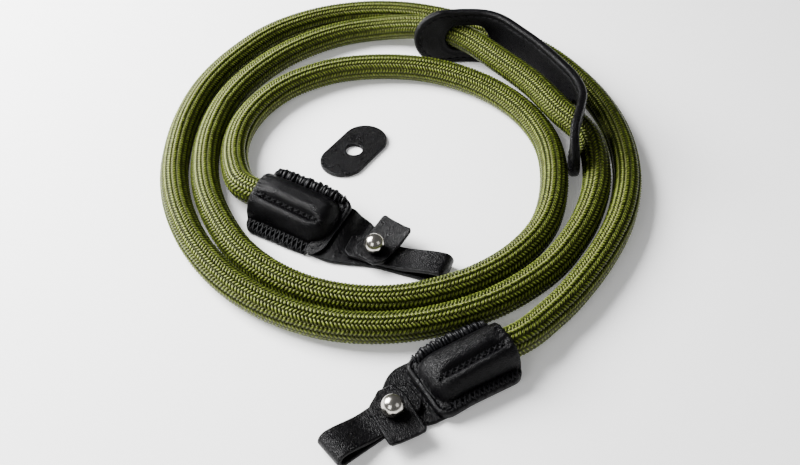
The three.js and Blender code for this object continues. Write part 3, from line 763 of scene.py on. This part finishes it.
# A turned profile about the stud's axis: its head under the strip, its post, a collar and the ball. The
# ball's middle is sunk * ball above the collar, and what would lie below the collar is left out.
def makeStud(end):
    head, post, collar, ball = (stud[key] for key in ("head", "post", "collar", "ball"))
    seat = strip["thickness"] * 3 + strip["gap"] * 2 + stud["rise"]
    centre = seat + ball * stud["sunk"]
    angle = np.linspace(-math.asin(stud["sunk"]), np.pi / 2, 40)
    profile = np.concatenate([
        [[0.01, 0.1], [head - 0.15, 0.1], [head, 0.2], [head, 0.5], [post, 0.5], [post, seat - 0.3],
         [collar - 0.1, seat - 0.3], [collar, seat - 0.2], [collar, seat]],
        np.stack([np.cos(angle) * ball, centre + np.sin(angle) * ball], -1)])
    profile[-1, 0] = 0.01
    sides = 64
    turn = np.linspace(0, 2 * np.pi, sides, endpoint=False)
    radius, height = profile[:, :1], profile[:, 1:]
    points = np.stack([radius * np.cos(turn) + end["stud"], radius * np.sin(turn) + end["aside"],
                       height + 0 * turn], -1)
    points = placed(onStrip(points, end), end).reshape(-1, 3)
    faces = gridFaces(len(profile), sides, False, True)
    piece = meshPiece(f"stud_{end['name']}", points, outward(points, faces), nickel)
    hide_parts(f"ball_stud_{end['name']}")


for end in ends:
    makeCover(end)
    makeSeamStitches(end)
    makeWhipStitches(end)
    makeFlangeStitches(end)
    makeLoop(end)
    makeTab(end)
    makeStud(end)
tell("ends")


# The shoulder pad's middle line as it stands on the table and the coil, seen from above.
padRoute = [(5.6, 97), (15, 98.2), (24.5, 99.4), (33.5, 98.8), (40, 95), (46.2, 87.2), (52.7, 78),
            (58.6, 67.5), (63.3, 57.4), (65, 47.5), (62.8, 37.8), (60.8, 29), (60.8, 20.9)]
pad = {
    "height": 24, "thickness": 3, "slotLength": 21.2, "slotHeight": 10.8, "tailFrom": 0.85, "tailLean": 1.4,
    "edge": 0.9, "cut": 0.75, "groove": 0.22, "grooveWidth": 0.6, "stitchInset": 2.2, "stitchSpacing": 2.9,
    "slotGroove": 0.2, "slotInset": 1.8, "threadRadius": 0.24,
}
padSlots = [{"along": 0.183, "height": 0.5, "length": 0.83}, {"along": 0.812, "height": 0.49, "length": 1.1}]


# Outline of a stadium with its middle at x, y, as a list of points.
def stadiumLoop(x, y, length, height, steps=24):
    angle = np.linspace(-np.pi / 2, np.pi / 2, steps)
    reach = (length - height) / 2
    right = np.stack([reach + np.cos(angle) * height / 2, np.sin(angle) * height / 2], -1)
    return np.concatenate([right, -right]) + [x, y]


# A flat sheet of leather lying in x and y, cut along its outlines, with rounded edges. It is cut into
# small squares, so that it can be bent.
def flatSheet(name, loops, thickness, edge, cut):
    curve = bpy.data.curves.new(name, "CURVE")
    curve.dimensions = "2D"
    curve.fill_mode = "BOTH"
    curve.extrude = thickness / 2 - edge
    curve.bevel_depth = edge
    curve.bevel_resolution = 3
    curve.offset = -edge
    for loop in loops:
        spline = curve.splines.new("POLY")
        spline.points.add(len(loop) - 1)
        flat = np.concatenate([loop, np.zeros((len(loop), 1)), np.ones((len(loop), 1))], axis=1)
        spline.points.foreach_set("co", flat.ravel())
        spline.use_cyclic_u = True
    holder = bpy.data.objects.new(name, curve)
    bpy.context.collection.objects.link(holder)
    graph = bpy.context.evaluated_depsgraph_get()
    mesh = bpy.data.meshes.new_from_object(holder.evaluated_get(graph))
    bpy.data.objects.remove(holder)
    shape = bmesh.new()
    shape.from_mesh(mesh)
    bmesh.ops.remove_doubles(shape, verts=shape.verts, dist=1e-4)
    low, high = loops[0].min(axis=0), loops[0].max(axis=0)
    for axis in (0, 1):
        direction = (1, 0, 0) if axis == 0 else (0, 1, 0)
        for place in np.arange(low[axis] + cut, high[axis], cut):
            at = (float(place), 0, 0) if axis == 0 else (0, float(place), 0)
            everything = [*shape.verts, *shape.edges, *shape.faces]
            bmesh.ops.bisect_plane(shape, geom=everything, plane_co=at, plane_no=direction)
    bmesh.ops.recalc_face_normals(shape, faces=shape.faces)
    shape.to_mesh(mesh)
    shape.free()
    return mesh


def finishSheet(name, mesh, points, material):
    mesh.vertices.foreach_set("co", ((points + planPlace) * mm).astype(np.float32).ravel())
    mesh.polygons.foreach_set("use_smooth", np.full(len(mesh.polygons), True))
    mesh.update()
    mesh.materials.clear()
    mesh.materials.append(material)
    piece = bpy.data.objects.new(name, mesh)
    bpy.context.collection.objects.link(piece)
    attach(piece, "root")
    return piece


def vertexArray(mesh):
    flat = np.empty(len(mesh.vertices) * 3)
    mesh.vertices.foreach_get("co", flat)
    return flat.reshape(-1, 3)


padLine, padLength = smoothPath(padRoute, 0.25)
padReach = np.linspace(0, padLength, len(padLine))
padAlong = np.gradient(padLine, axis=0)
padAlong /= np.linalg.norm(padAlong, axis=1, keepdims=True)


# The pad's point: the middle line at that distance along the band, out along its normal, and up. The band
# leans out toward its tail.
def padPoint(reach, up, out):
    x, y = (np.interp(reach, padReach, padLine[:, k]) for k in range(2))
    alongX, alongY = (np.interp(reach, padReach, padAlong[:, k]) for k in range(2))
    out = out + pad["tailLean"] * smooth(reach / padLength, pad["tailFrom"], 1) * up / (pad["height"] / 2)
    return np.stack([x + alongY * out, y - alongX * out, pad["height"] / 2 + up], -1)


# Distance inward from a stadium's outline, negative outside it.
def stadiumDistance(x, y, length, height):
    reach = (length - height) / 2
    return height / 2 - np.hypot(np.maximum(np.abs(x) - reach, 0), y)


# The pad: a flat sheet with two slots, bent to its line. A groove runs inside its rim and round each slot.
def makePad():
    height = pad["height"]
    loops = [stadiumLoop(padLength / 2, 0, padLength, height)]
    for slot in padSlots:
        loops.append(stadiumLoop(slot["along"] * padLength, (slot["height"] - 0.5) * height,
                                 pad["slotLength"] * slot["length"], pad["slotHeight"]))
    mesh = flatSheet("pad", loops, pad["thickness"], pad["edge"], pad["cut"])
    points = vertexArray(mesh)
    reach, up, out = points.T
    fromRim = stadiumDistance(reach - padLength / 2, up, padLength, height)
    fromSlot = np.full(reach.shape, 99.0)
    for slot in padSlots:
        away = -stadiumDistance(reach - slot["along"] * padLength, up - (slot["height"] - 0.5) * height,
                                pad["slotLength"] * slot["length"], pad["slotHeight"])
        fromSlot = np.minimum(fromSlot, away)
    groove = pad["groove"] * np.exp(-((fromRim - pad["stitchInset"]) / pad["grooveWidth"]) ** 2)
    groove = groove + pad["slotGroove"] * np.exp(-((fromSlot - pad["slotInset"]) / pad["grooveWidth"]) ** 2)
    out = out - np.sign(out) * groove * (np.abs(out) > pad["thickness"] / 2 - 0.1)
    piece = finishSheet("pad", mesh, padPoint(reach, up, out), nappa)
    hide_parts("shoulder_pad")
    piece.data.set_sharp_from_angle(angle=math.radians(50))


# Running stitches in the groove inside the rim, on both faces.
def makePadStitches():
    inset = pad["stitchInset"] * 2
    border = stadiumLoop(padLength / 2, 0, padLength - inset, pad["height"] - inset, 40)
    border = np.vstack([border, border[:1]])
    distance = np.concatenate([[0], np.cumsum(np.hypot(*np.diff(border, axis=0).T))])
    t = np.linspace(-1, 1, 7)[None, :]
    at = np.arange(1, distance[-1] - 2, pad["stitchSpacing"])[:, None] + t * 1.1
    reach = np.interp(at, distance, border[:, 0])
    up = np.interp(at, distance, border[:, 1])
    depth = pad["thickness"] / 2 - pad["groove"] + 0.18 * (1 - t ** 2) + 0 * at
    lines = [padPoint(reach, up, sign * depth) for sign in (1, -1)]
    piece = threadPiece("pad_stitches", np.concatenate(lines), pad["threadRadius"], thread)


makePad()
makePadStitches()
tell("pad")


guard = {"length": 30.4, "width": 16.5, "thickness": 1.4, "hole": 3.0, "slit": 0.25, "slitEnd": 5.1,
         "edge": 0.4, "dish": 0.12, "turn": 56.7, "x": -16.9, "y": 41.8}


# The lug guard: an oval of leather with a hole and a short slit. It is a grid of angle and share, with
# radius = hole's radius + (oval's radius - hole's radius) * share, and its top rises a little to both ends.
def makeGuard():
    angle = np.linspace(0, 2 * np.pi, 240, endpoint=False)
    slitAngle = math.asin(guard["slit"] / guard["hole"])
    extra = np.array([slitAngle, slitAngle * 1.03, slitAngle * 0.5, 0.004])
    angle = np.sort(np.concatenate([angle, extra, 2 * np.pi - extra]))
    fromSlit = np.minimum(angle, 2 * np.pi - angle)
    inner = np.where(fromSlit <= slitAngle * 0.6, guard["slitEnd"], guard["hole"])
    reach = (guard["length"] - guard["width"]) / 2
    radius = guard["width"] / 2
    cosine, sine = np.cos(angle), np.sin(angle)
    side = radius / np.maximum(np.abs(sine), 1e-6)
    onSide = np.abs(side * cosine) <= reach
    end = np.abs(cosine) * reach + np.sqrt(np.maximum(0, radius ** 2 - (reach * sine) ** 2))
    outer = np.where(onSide, side, end)
    share = (0.5 - 0.5 * np.cos(np.linspace(0, np.pi, 40)))[None, :]
    distance = mix(inner[:, None], outer[:, None], share)
    fromEdge = np.minimum(distance - inner[:, None], outer[:, None] - distance)
    half = guard["thickness"] / 2 - edgeDrop(fromEdge, guard["edge"])
    x, y = distance * cosine[:, None], distance * sine[:, None]
    dish = guard["dish"] * (x / 15) ** 2
    sides = []
    for sign in (1, -1):
        z = guard["thickness"] / 2 + half * sign + (dish if sign > 0 else 0)
        sides.append(turned(np.stack([x, y, z], -1), guard["turn"]) + [guard["x"], guard["y"], 0])
    piece = shellPiece("guard", sides[0], sides[1], pebbled, closeRows=True)
    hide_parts("lug_guard")


makeGuard()
tell("lug guard")

# A pale table under a soft light from the upper left. Places and sizes are metres, powers watts.
floorMesh = bpy.data.meshes.new("table")
floorMesh.from_pydata([(-3, -3, 0), (3, -3, 0), (3, 3, 0), (-3, 3, 0)], [], [(0, 1, 2, 3)])
paper = newMaterial("white_paper", **{
    "Base Color": linearColour("#ffffff"), "Roughness": 0.8, "Specular IOR Level": 0.1,
    "Emission Color": linearColour("#ffffff"), "Emission Strength": 0.17})[0]
floorMesh.materials.append(paper)
table = bpy.data.objects.new("table", floorMesh)
bpy.context.collection.objects.link(table)


# A rectangular light that looks at the origin.
def addLight(name, place, size, power):
    data = bpy.data.lights.new(name, "AREA")
    data.shape = "RECTANGLE"
    data.size, data.size_y = size
    data.energy = power
    lamp = bpy.data.objects.new(name, data)
    lamp.location = place
    x, y, z = place
    lamp.rotation_euler = (math.atan2(math.hypot(x, y), z), 0, math.atan2(-y, -x) - math.pi / 2)
    bpy.context.collection.objects.link(lamp)


addLight("key", (-0.42, 0.16, 0.36), (0.4, 0.4), 19.5)
addLight("fill", (0.45, -0.3, 0.4), (0.3, 0.3), 0.4)
addLight("front", (-0.28, -0.5, 0.35), (0.25, 0.3), 1.2)
world = bpy.data.worlds.new("studio")
world.use_nodes = True
world.node_tree.nodes["Background"].inputs["Color"].default_value = (1, 1, 1, 1)
world.node_tree.nodes["Background"].inputs["Strength"].default_value = 0.14
bpy.context.scene.world = world
